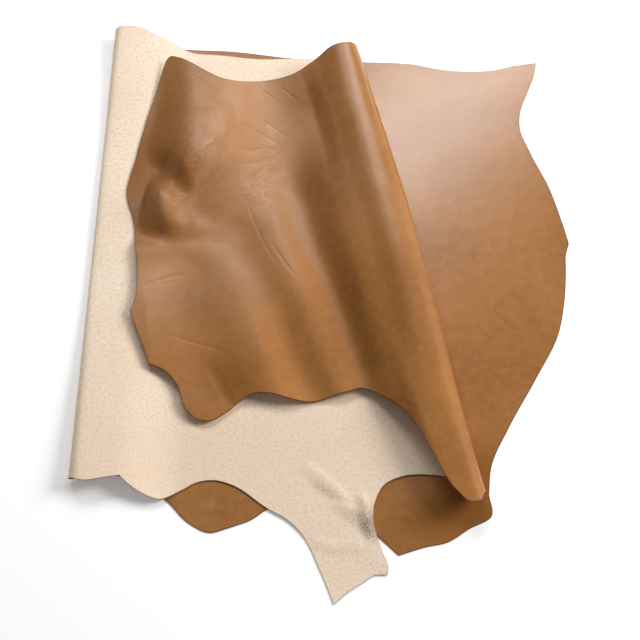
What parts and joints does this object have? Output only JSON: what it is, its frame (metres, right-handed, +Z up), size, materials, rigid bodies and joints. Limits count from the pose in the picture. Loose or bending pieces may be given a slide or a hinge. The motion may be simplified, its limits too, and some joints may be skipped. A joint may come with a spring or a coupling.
{
  "type": "folded calfskin leather side",
  "caption": "One cut side of tanned calf leather, smooth tan grain and pale flesh side, lying folded back and forth in loose layers.",
  "frame": {"origin": "middle of the underside, on the surface that the leather lies on", "axes": "+Z up through the thin way of the folded pile, +Y along the folds towards the straight back line, +X towards the loose edge of the lowest layer"},
  "size_m": [0.7416, 0.993, 0.0622],
  "materials": {
    "hide": "tan-brown aniline grain with a soft sheen, pale napped flesh side"
  },
  "bodies": {
    "root": {"hide": "hide"}
  },
  "joints": []
}
